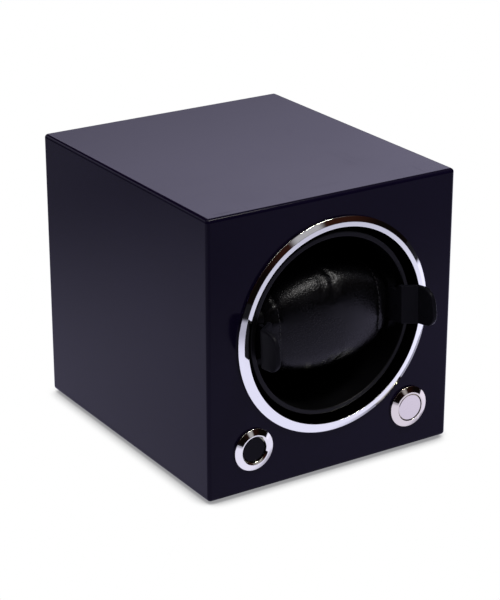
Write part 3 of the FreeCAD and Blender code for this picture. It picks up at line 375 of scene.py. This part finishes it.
def solder_mask():
    """Green board with copper tracks that show through the mask and bare tinned pads."""
    made = Finish("solder_mask", IOR=1.5)
    tree = made.tree
    where = place_in_part(tree)
    upright = stretched(tree, where, turn=(0, math.pi / 2, 0), scale=(1, 1, 1))
    feed = {"Vector": upright, "Scale": 130.0, "Mortar Size": 0.035}
    track = put(tree, "ShaderNodeTexBrick", feed).outputs["Fac"]
    feed = {"Vector": where, "Scale": 230.0, "Randomness": 0.35}
    pad = put(tree, "ShaderNodeTexVoronoi", feed).outputs["Distance"]
    pad = spread(tree, pad, 0.2, 0.16)
    green = blend_colours(tree, track, (0.008, 0.09, 0.03), (0.03, 0.2, 0.07))
    made.colour(pad, green, (0.62, 0.6, 0.55))
    made.join("Metallic", pad)
    made.join("Roughness", sums(tree, "MULTIPLY_ADD", pad, 0.1, 0.28))
    made.relief(sums(tree, "ADD", track, pad), 0.03 * MM, 0.5)
    return made.material


def board_components():
    """Moulded parts on the board, cream plugs or black bodies."""
    made = Finish("board_components", Roughness=0.5)
    grains = made.use(MOULDED_GRAIN, Scale=1800.0)
    cream = blend_colours(made.tree, grains["Shade"], (0.6, 0.56, 0.45), (0.78, 0.75, 0.66))
    made.colour(half_of_bodies(made.tree), cream, (0.012, 0.012, 0.013))
    edges = made.use(SOFT_EDGES, Radius=0.12 * MM)
    made.relief(grains["Height"], 0.01 * MM, 0.4, edges["Normal"])
    return made.material


CELL_BAND = (13.4 * MM, 13.6 * MM)  # where the band starts, from the middle of a cell
CELL_BARE = (25.2 * MM, 25.35 * MM)  # where the sleeve ends


def cell_wrap(middle):
    """Plain dark sleeve on each battery cell, with a pale band at one end and bare metal ends."""
    made = Finish("cell_wrap", IOR=1.5)
    tree = made.tree
    where = place_in_part(tree)
    split = put(tree, "ShaderNodeSeparateXYZ", {0: where}).outputs
    way_round = sums(tree, "SIGN", sums(tree, "SUBTRACT", middle.z, split["Z"]))
    band = spread(tree, sums(tree, "MULTIPLY", split["X"], way_round), *CELL_BAND)
    bare = spread(tree, sums(tree, "ABSOLUTE", split["X"]), *CELL_BARE)
    film = spread(tree, noise(tree, where, 55.0, detail=3.0), 0.35, 0.7)
    sleeve = blend_colours(tree, film, (0.018, 0.018, 0.02), (0.032, 0.032, 0.036))
    banded = blend_colours(tree, band, sleeve, (0.46, 0.47, 0.47))
    made.colour(bare, banded, (0.68, 0.67, 0.65))
    made.join("Metallic", bare)
    made.polish(base=0.2, hairlines=0.12, film=0.1)
    made.relief(film, 0.05 * MM, 0.3)
    return made.material


def wire_skin():
    """Soft insulation on the leads, red or black."""
    made = Finish("wire_skin", Roughness=0.42, IOR=1.45)
    tree = made.tree
    skin = noise(tree, place_in_part(tree), 700.0)
    red = blend_colours(tree, skin, (0.32, 0.012, 0.01), (0.46, 0.02, 0.016))
    made.colour(half_of_bodies(tree), red, (0.01, 0.01, 0.011))
    made.relief(skin, 0.02 * MM, 0.3)
    return made.material


# Finishes on the pieces

RING_CHROME = (0.74, 0.77, 0.66)
# One chrome on both bezels, with painted light and shade: lighter and greener on the left, darker
# and warmer on the right
BEZEL_PAINTED_LIGHT_CHROME = {"left": (0.74, 0.75, 0.62), "right": (0.66, 0.63, 0.5)}
CAP_CHROME = (0.61, 0.575, 0.49)
ZINC = ((0.5, 0.5, 0.49), (0.68, 0.68, 0.66))
STEEL = ((0.46, 0.46, 0.47), (0.64, 0.64, 0.65))
BRONZE = ((0.36, 0.22, 0.1), (0.6, 0.4, 0.2))


def dress(material, *names):
    for name in names:
        slots = nodes[name].data.materials
        slots.clear()
        slots.append(material)


def middle_of(name):
    low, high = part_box(name)
    return (low + high) / 2


def dress_cabinet():
    dress(piano_lacquer(), "cabinet_shell")
    dress(raw_fibreboard(), "corner_blocks")
    dress(black_felt(), "base_felt")
    dress(black_suede(), "drum_lining")
    dress(polished_chrome("ring_chrome", RING_CHROME, 0.035, DRUM_AXIS), "front_ring")
    # Bezels in painted light and shade, the same chrome in a lighter and a darker colour
    for side, colour in BEZEL_PAINTED_LIGHT_CHROME.items():
        bezel = side + "_button_bezel"
        chrome = polished_chrome(side + "_bezel_painted_light_chrome", colour, 0.04, middle_of(bezel))
        dress(chrome, bezel)
    cap = "right_button_cap"
    dress(polished_chrome("cap_chrome", CAP_CHROME, 0.14, middle_of(cap)), cap)


def dress_mouldings():
    drum_black = moulded_black("drum_black", (0.0008, 0.0008, 0.001), (0.002, 0.002, 0.0024),
                               roughness=0.4, ior=1.22, grain=3200.0, depth=0.006)
    dress(drum_black, "drum", "drum_housing")
    tab_black = moulded_black("tab_black", (0.0034, 0.0034, 0.005), (0.0046, 0.0046, 0.0066),
                              roughness=0.27, ior=1.09, grain=3600.0, depth=0.003, edge=0.8)
    dress(tab_black, "left_tab", "right_tab")
    cap_black = moulded_black("cap_black", (0.001, 0.0008, 0.0018), (0.0018, 0.0014, 0.003),
                              roughness=0.06, ior=1.15, grain=3600.0, depth=0.001)
    dress(cap_black, "left_button_cap")
    cover_black = moulded_black("cover_black", (0.009, 0.009, 0.01), (0.015, 0.015, 0.0165),
                                roughness=0.46, ior=1.45, grain=1500.0, depth=0.03)
    dress(cover_black, "rear_cover", "battery_door", "battery_tray", "gear_plate",
          "left_switch", "right_switch")
    frame_black = moulded_black("frame_black", (0.001, 0.001, 0.0013), (0.002, 0.002, 0.0024),
                                roughness=0.45, ior=1.1, grain=2400.0, depth=0.012)
    dress(frame_black, "holder_spine", "left_end_plate", "right_end_plate")
    jack_black = moulded_black("jack_black", (0.008, 0.008, 0.009), (0.013, 0.013, 0.014),
                               roughness=0.25, ior=1.5, grain=2600.0, depth=0.005)
    dress(jack_black, "dc_jack")


def dress_works():
    plated = bare_metal("zinc_plate", ZINC, 0.3, Vector((0, 0, 0)), 900.0)
    dress(plated, "housing_screws", "motor_screws", "plate_screws", "cover_screws",
          "board_screws", "end_plate_screws", "left_button_nut", "right_button_nut",
          "battery_contacts")
    turned = (
        ("_zinc", ZINC, 0.32, ("drum_screw", "jack_nut", "motor_gearhead", "motor_can")),
        ("_steel", STEEL, 0.22,
         ("drum_shaft", "idler_pin", "motor_shaft", "shaft_clip", "tab_pins")),
        ("_bronze", BRONZE, 0.45, ("front_bush", "rear_bush")),
    )
    for metal, shades, roughness, names in turned:
        for name in names:
            dress(bare_metal(name + metal, shades, roughness, middle_of(name)), name)
    dress(natural_acetal(), "drum_gear", "idler_gear", "motor_pinion", "board_posts")
    dress(solder_mask(), "control_board")
    dress(board_components(), "board_parts")
    dress(cell_wrap(middle_of("battery_cells")), "battery_cells")
    dress(wire_skin(), "motor_leads", "battery_leads", "jack_leads", "switch_leads")


# Pillow of the holder

PILLOW_MIDDLE = middle_of("pillow")
PILLOW_HALF_L = 29.72 * MM
PILLOW_END = (28.0 * MM, 24.0 * MM)  # depth and height of its end panels
PILLOW_FULL = (40.0 * MM, 46.0 * MM)  # and of its middle
SWELL_POWER = 0.6  # below 1 keeps the pillow full nearly to its ends
CORNER_POWER = 3.3  # 2 makes the section an ellipse, more makes it squarer
COVER_SIZE = 0.955  # cover before filling, as a share of the full pillow
END_TUCK = 0.035  # share by which its ends are tucked in further
END_TUCK_POWER = 8  # how close to the ends that happens
AROUND = 96
ALONG = 64
ROW_SPACING = (0.55, 0.45)  # shares of rows crowded to the ends and of even rows
CAP_RINGS = 5


def on_holder(x, y, z):
    """Place in the frame of a point given from the pillow's middle, with the holder's own turn."""
    c, s = math.cos(REST_TURN), math.sin(REST_TURN)
    return Vector((c * x - s * z, PILLOW_MIDDLE.y + y, DRUM_AXIS.z + s * x + c * z))


def pillow_outline(share, angle, trim):
    """Depth and height on the cover's section at a share of its half length."""
    swell = max(0.0, math.cos(share * math.pi / 2)) ** SWELL_POWER
    depth = PILLOW_END[0] + (PILLOW_FULL[0] - PILLOW_END[0]) * swell
    height = PILLOW_END[1] + (PILLOW_FULL[1] - PILLOW_END[1]) * swell
    power = 2 / CORNER_POWER
    c, s = math.cos(angle), math.sin(angle)
    y = 0.5 * depth * trim * math.copysign(abs(c) ** power, c)
    z = 0.5 * height * trim * math.copysign(abs(s) ** power, s)
    return y, z


def join_rings(mesh, rings, flip=False):
    """Skins a row of rings of points with four-sided faces."""
    for ring, following in zip(rings, rings[1:]):
        for k in range(len(ring)):
            j = (k + 1) % len(ring)
            a, b = (j, k) if flip else (k, j)
            mesh.faces.new((ring[a], ring[b], following[b], following[a]))


def sewn_cover():
    """Closed cover before filling, a tube with a flat panel at each end, and its end points."""
    mesh = bmesh.new()
    rows = []
    for i in range(ALONG + 1):
        crowded, even = -math.cos(math.pi * i / ALONG), 2 * i / ALONG - 1
        share = ROW_SPACING[0] * crowded + ROW_SPACING[1] * even
        trim = COVER_SIZE - END_TUCK * abs(share) ** END_TUCK_POWER
        ring = []
        for k in range(AROUND):
            y, z = pillow_outline(share, 2 * math.pi * k / AROUND, trim)
            ring.append(mesh.verts.new((share * PILLOW_HALF_L, y, z)))
        rows.append(ring)
    join_rings(mesh, rows)
    ends = []
    for ring, flip in ((rows[0], True), (rows[-1], False)):
        last = ring
        for step in range(1, CAP_RINGS + 1):
            shrink = 1 - step / (CAP_RINGS + 1)
            inner = [mesh.verts.new((v.co.x, v.co.y * shrink, v.co.z * shrink)) for v in ring]
            ends.extend(inner)
            join_rings(mesh, [last, inner], flip)
            last = inner
        mesh.faces.new(list(reversed(last)) if flip else last)
        ends.extend(ring)
    mesh.verts.index_update()
    held = [v.index for v in ends]
    data = bpy.data.meshes.new("pillow_cover")
    bmesh.ops.recalc_face_normals(mesh, faces=mesh.faces)
    mesh.to_mesh(data)
    mesh.free()
    return data, held


FILL_SCALE = 10.0  # the cover is filled at this size, where cloth is steadier
FILL_FRAMES = 22
FILL_LIMIT = 2.6 * MM  # furthest that filling may move the cover
FILLING = {
    "quality": 6,
    "mass": 0.25,
    "tension_stiffness": 18.0,
    "compression_stiffness": 12.0,
    "shear_stiffness": 8.0,
    "bending_stiffness": 0.6,
    "use_pressure": True,
    "uniform_pressure_force": 4.0,
}


def fill_cover(data, held):
    """Swells the cover with soft filling, as cloth under pressure, held at its two end panels."""
    scene = bpy.context.scene
    start = [v.co.copy() for v in data.vertices]
    big = data.copy()
    for v in big.vertices:
        v.co = v.co * FILL_SCALE
    trial = bpy.data.objects.new("filling_trial", big)
    scene.collection.objects.link(trial)
    trial.vertex_groups.new(name="held").add(held, 1.0, "REPLACE")
    cloth = trial.modifiers.new("filling", "CLOTH")
    for name, value in FILLING.items():
        setattr(cloth.settings, name, value)
    cloth.settings.vertex_group_mass = "held"
    cloth.settings.effector_weights.gravity = 0.0
    cloth.collision_settings.use_collision = False
    cloth.point_cache.frame_start = 1
    cloth.point_cache.frame_end = FILL_FRAMES
    for number in range(1, FILL_FRAMES + 1):
        scene.frame_set(number)
    graph = bpy.context.evaluated_depsgraph_get()
    swollen = bpy.data.meshes.new_from_object(trial.evaluated_get(graph))
    for v, before, after in zip(data.vertices, start, swollen.vertices):
        step = after.co / FILL_SCALE - before
        v.co = before + step * min(1.0, FILL_LIMIT / max(step.length, 1e-9))
    scene.frame_set(1)
    bpy.data.objects.remove(trial)
    bpy.data.meshes.remove(swollen)
    bpy.data.meshes.remove(big)


SEAM_PLACES = (-23.6 * MM, 23.6 * MM)
SEAM_PULL = 0.55 * MM
SEAM_WIDTH = 0.9 * MM
PLEATS = 17
PLEAT_DEPTH = 0.22 * MM
PLEAT_START = 20 * MM  # from the pillow's middle
PLEAT_WANDER = (1.3, 3)  # how far the pleats stray from even places, and how often
PANEL_CORE = 6 * MM  # radius at the middle of the end panels that stays flat


def press_seams(data):
    """Draws the cover in along its two seams, and gathers it in short pleats next to the ends."""
    stray, turns = PLEAT_WANDER
    for v in data.vertices:
        radius = math.hypot(v.co.y, v.co.z)
        if radius < PANEL_CORE:
            continue
        pull = sum(SEAM_PULL * math.exp(-((v.co.x - x) / SEAM_WIDTH) ** 2) for x in SEAM_PLACES)
        near_end = max(0.0, (abs(v.co.x) - PLEAT_START) / (PILLOW_HALF_L - PLEAT_START))
        angle = math.atan2(v.co.z, v.co.y)
        pleat = math.sin(PLEATS * angle + stray * math.sin(turns * angle))
        pleat *= math.sin(math.pi * min(1.0, near_end)) ** 2
        pull += PLEAT_DEPTH * pleat
        v.co.y *= 1 - pull / radius
        v.co.z *= 1 - pull / radius


def add_piece(name, data, material):
    for polygon in data.polygons:
        polygon.use_smooth = True
    data.materials.append(material)
    piece = bpy.data.objects.new(name, data)
    bpy.context.scene.collection.objects.link(piece)
    return piece


def filled_pillow():
    data, held = sewn_cover()
    fill_cover(data, held)
    press_seams(data)
    for v in data.vertices:
        v.co = on_holder(*v.co)
    cover = add_piece("pillow_cover", data, pillow_leather())
    smooth = cover.modifiers.new("soft_skin", "SUBSURF")
    smooth.levels = 1
    smooth.render_levels = 1
    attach(cover, "holder")
    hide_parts("pillow")
    return cover


STITCHES = 54  # in each seam
STITCH_PARTS = 4  # a stitch takes all but one of these parts of its place, the gap takes that one
STITCH_STEPS = 6
STITCH_LIFT = 0.24 * MM
STITCH_DIP = 0.12 * MM  # below the leather at both ends
THREAD_RADIUS = 0.17 * MM
THREAD_TAPER = (0.55, 0.45)  # shares of the radius at the ends and added at the middle
THREAD_SIDES = 8
CAST_FROM = 40 * MM  # outside the pillow, where the search for its surface starts


def surface_of(piece):
    graph = bpy.context.evaluated_depsgraph_get()
    mesh = bpy.data.meshes.new_from_object(piece.evaluated_get(graph))
    tree = BVHTree.FromPolygons([v.co for v in mesh.vertices], [p.vertices for p in mesh.polygons])
    bpy.data.meshes.remove(mesh)
    return tree


def seam_path(skin, x):
    """Points on the leather all round at one place along the pillow, with the way out at each."""
    inside = on_holder(x, 0, 0)
    path = []
    for k in range(STITCHES * STITCH_PARTS):
        angle = 2 * math.pi * k / (STITCHES * STITCH_PARTS)
        outside = on_holder(x, CAST_FROM * math.cos(angle), CAST_FROM * math.sin(angle))
        hit, normal, _, _ = skin.ray_cast(outside, (inside - outside).normalized())
        path.append((hit, normal))
    return path


def add_stitch(thread, first, out_first, last, out_last):
    """One short thread, bent over the seam, that dips into the leather at both ends."""
    ahead = (last - first).normalized()
    rings = []
    for i in range(STITCH_STEPS + 1):
        t = i / STITCH_STEPS
        rise = math.sin(math.pi * t)
        normal = out_first.lerp(out_last, t).normalized()
        across = ahead.cross(normal).normalized()
        centre = first.lerp(last, t) + normal * (STITCH_LIFT * rise - STITCH_DIP)
        radius = THREAD_RADIUS * (THREAD_TAPER[0] + THREAD_TAPER[1] * rise)
        ring = []
        for k in range(THREAD_SIDES):
            angle = 2 * math.pi * k / THREAD_SIDES
            out = across * math.cos(angle) + normal * math.sin(angle)
            ring.append(thread.verts.new(centre + out * radius))
        rings.append(ring)
    join_rings(thread, rings)
    thread.faces.new(rings[0])
    thread.faces.new(list(reversed(rings[-1])))


def seam_stitches(cover):
    """Lockstitches along the two seams."""
    skin = surface_of(cover)
    thread = bmesh.new()
    for x in SEAM_PLACES:
        path = seam_path(skin, x)
        for k in range(0, len(path), STITCH_PARTS):
            add_stitch(thread, *path[k], *path[k + STITCH_PARTS - 1])
    bmesh.ops.recalc_face_normals(thread, faces=thread.faces)
    data = bpy.data.meshes.new("pillow_stitches")
    thread.to_mesh(data)
    thread.free()
    piece = add_piece("pillow_stitches", data, waxed_thread())
    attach(piece, "holder")


# Studio. A fade gives where it starts and ends, and then its level at these two places.

FLOOR_HALF = 8.0
FLOOR_GREY = (0.8, 0.8, 0.8, 1.0)
# Painted contact shadow, greyed into the floor's glow where nearby things close it in
SHADOW_REACH = 9 * MM
SHADOW_FADE = (0.25, 0.85)
SHADOW_GREY = (0.3, 0.3, 0.31)
# Painted pool of light that gloss and metal see on the floor, darkened by the painted contact
# shadow
PAINTED_POOL_TINT = (1.0, 0.95, 1.38)
PAINTED_POOL_BEHIND = (0.06, 0.31, 1.01, 0.4)
PAINTED_POOL_IN_FRONT = (-0.16, -0.315, 1.0, 0.53)
PAINTED_POOL_RIGHT, PAINTED_POOL_RIGHT_GAIN = (0.05, 0.14), 0.18
PAINTED_POOL_FAR = (0.5, 0.66, 1.0, 0.02)
PAINTED_POOL_SHADOW = (0.3, 0.8, 0.12, 1.0)


def studio_floor():
    """White floor with a painted soft contact shadow, which gloss and metal see as a painted pool
    of light, like a lit table.
    """
    data = bpy.data.meshes.new("studio_floor")
    h = FLOOR_HALF
    data.from_pydata([(-h, -h, 0), (h, -h, 0), (h, h, 0), (-h, h, 0)], [], [(0, 1, 2, 3)])
    floor = bpy.data.objects.new("studio_floor", data)
    bpy.context.scene.collection.objects.link(floor)
    material = bpy.data.materials.new("white_floor")
    material.use_nodes = True
    tree = material.node_tree
    tree.nodes.clear()
    path = put(tree, "ShaderNodeLightPath").outputs
    seen = sums(tree, "MAXIMUM", path["Is Glossy Ray"], path["Is Transmission Ray"])
    seen = sums(tree, "MAXIMUM", path["Is Camera Ray"], seen)
    # Painted contact shadow: the glow seen by the camera turns grey where the floor is closed in
    feed = {"Distance": SHADOW_REACH}
    open_above = put(tree, "ShaderNodeAmbientOcclusion", feed, samples=16).outputs["AO"]
    shaded = blend_colours(tree, spread(tree, open_above, *SHADOW_FADE), SHADOW_GREY, (1, 1, 1))
    where = put(tree, "ShaderNodeNewGeometry").outputs["Position"]
    split = put(tree, "ShaderNodeSeparateXYZ", {0: where}).outputs
    away = put(tree, "ShaderNodeVectorMath", {0: where}, operation="LENGTH").outputs["Value"]
    # Painted pool of light for gloss and metal: lighter to the right, dimmer behind, in front and
    # far off, and darker in the painted contact shadow
    level = sums(tree, "MULTIPLY", spread(tree, split["Y"], *PAINTED_POOL_BEHIND),
                 spread(tree, split["Y"], *PAINTED_POOL_IN_FRONT))
    right = spread(tree, split["X"], *PAINTED_POOL_RIGHT)
    level = sums(tree, "MULTIPLY_ADD", right, PAINTED_POOL_RIGHT_GAIN, level)
    level = sums(tree, "MULTIPLY", level, spread(tree, away, *PAINTED_POOL_FAR))
    level = sums(tree, "MULTIPLY", level, spread(tree, open_above, *PAINTED_POOL_SHADOW))
    painted_pool = tinted(tree, PAINTED_POOL_TINT, level)
    white = blend_colours(tree, path["Is Camera Ray"], painted_pool, shaded)
    glow = put(tree, "ShaderNodeEmission", {"Color": white, "Strength": 1.0}).outputs[0]
    plain = put(tree, "ShaderNodeBsdfDiffuse", {"Color": FLOOR_GREY}).outputs[0]
    mixed = put(tree, "ShaderNodeMixShader", {0: seen, 1: plain, 2: glow}).outputs[0]
    put(tree, "ShaderNodeOutputMaterial", {"Surface": mixed})
    data.materials.append(material)


SWEEP_TINT = (1.0, 0.95, 1.31)
SWEEP_BEHIND = (0.1, 0.45)
SWEEP_TOP = (0.54, 0.47)  # slope at which it ends
SWEEP_RISE = (0.322, 0.434, 0.58, 1.9)  # slopes between which it grows lighter
SLOPE_LEAST_Y = 0.05
WINDOW_TOWARD = (0.27, -0.862, 0.43)
WINDOW_EDGE = (0.981, 0.996)  # as cosines
WINDOW_LIGHT = (0.5, 0.47, 0.58)
ROOM_LOW, ROOM_HIGH = (0.004, 0.0026, 0.0026), (0.031, 0.009, 0.0065)
ROOM_FADE = (0.2, 0.44)
CEILING_FADE = (0.56, 0.82)
CEILING_LIGHT = (0.34, 0.33, 0.38)


def studio_world():
    """Sweep behind that grows lighter upwards, a window in front, a ceiling and a dim warm room."""
    world = bpy.data.worlds.new("studio_tent")
    bpy.context.scene.world = world
    world.use_nodes = True
    tree = world.node_tree
    tree.nodes.clear()
    toward = put(tree, "ShaderNodeTexCoord").outputs["Generated"]
    split = put(tree, "ShaderNodeSeparateXYZ", {0: toward}).outputs
    slope = sums(tree, "DIVIDE", split["Z"], sums(tree, "MAXIMUM", split["Y"], SLOPE_LEAST_Y))
    sweep = sums(tree, "MULTIPLY", spread(tree, split["Y"], *SWEEP_BEHIND),
                 spread(tree, slope, *SWEEP_TOP))
    feed = dict(zip(("From Min", "From Max", "To Min", "To Max"), SWEEP_RISE), Value=slope)
    rising = put(tree, "ShaderNodeMapRange", feed).outputs["Result"]
    sweep = tinted(tree, SWEEP_TINT, sums(tree, "MULTIPLY", sweep, rising))
    room = blend_colours(tree, spread(tree, split["Z"], *ROOM_FADE), ROOM_LOW, ROOM_HIGH)
    facing = vectors(tree, "DOT_PRODUCT", toward, WINDOW_TOWARD)["Value"]
    room = blend_colours(tree, spread(tree, facing, *WINDOW_EDGE), room, WINDOW_LIGHT)
    ceiling = blend_colours(tree, spread(tree, split["Z"], *CEILING_FADE), (0, 0, 0),
                            CEILING_LIGHT)
    tent = vectors(tree, "ADD", vectors(tree, "ADD", sweep, room)[0], ceiling)[0]
    path = put(tree, "ShaderNodeLightPath").outputs
    colour = blend_colours(tree, path["Is Camera Ray"], tent, (1, 1, 1))
    back = put(tree, "ShaderNodeBackground", {"Color": colour, "Strength": 1.0}).outputs[0]
    put(tree, "ShaderNodeOutputWorld", {"Surface": back})


LAMP_COLOUR = (1.0, 0.98, 0.96)
LAMP_AIM = (0.0, 0.0, 0.06)


def softbox(name, place, aim, size, power, seen_in_gloss=True):
    lamp = bpy.data.lights.new(name, "AREA")
    lamp.shape = "RECTANGLE"
    lamp.size, lamp.size_y = size
    lamp.energy = power
    lamp.color = LAMP_COLOUR
    made = bpy.data.objects.new(name, lamp)
    made.location = place
    made.rotation_euler = (Vector(aim) - Vector(place)).to_track_quat("-Z", "Y").to_euler()
    made.visible_glossy = seen_in_gloss
    bpy.context.scene.collection.objects.link(made)


def studio_lights():
    softbox("top_box", (-0.42, 0.05, 1.0), LAMP_AIM, (0.5, 0.5), 2.6)
    softbox("boom_box", (0.27, -0.42, 1.0), (0.0, -0.06, 0.08), (0.55, 0.17), 9.5)
    softbox("front_fill", (-0.5, -1.1, 0.8), LAMP_AIM, (0.8, 0.8), 1.5, seen_in_gloss=False)
    softbox("left_fill", (-1.1, -0.2, 0.7), LAMP_AIM, (0.8, 0.8), 3.0, seen_in_gloss=False)


CAMERA_PLACE = (-0.426201, -0.667908, 0.367339)
CAMERA_TURN, CAMERA_RISE = math.radians(-32.7199), math.radians(21.6851)
CAMERA_CLIP = (0.05, 50.0)
FOCAL_PIXELS = 2029.35
FRAME_PIXELS = 600.0  # on the longer side of the picture, which the sensor's width covers
SENSOR_WIDTH = 36.0


def studio_camera():
    flat = math.cos(CAMERA_RISE)
    back = Vector((math.sin(CAMERA_TURN) * flat, -math.cos(CAMERA_TURN) * flat,
                   math.sin(CAMERA_RISE)))
    lens = bpy.data.cameras.new("camera")
    lens.sensor_width = SENSOR_WIDTH
    lens.lens = FOCAL_PIXELS * SENSOR_WIDTH / FRAME_PIXELS
    lens.clip_start, lens.clip_end = CAMERA_CLIP
    camera = bpy.data.objects.new("camera", lens)
    camera.location = CAMERA_PLACE
    camera.rotation_euler = (-back).to_track_quat("-Z", "Y").to_euler()
    bpy.context.scene.collection.objects.link(camera)
    bpy.context.scene.camera = camera


studio_camera()
studio_floor()
studio_world()
studio_lights()
dress_cabinet()
dress_mouldings()
dress_works()
seam_stitches(filled_pillow())

bpy.context.scene.view_settings.view_transform = "Standard"
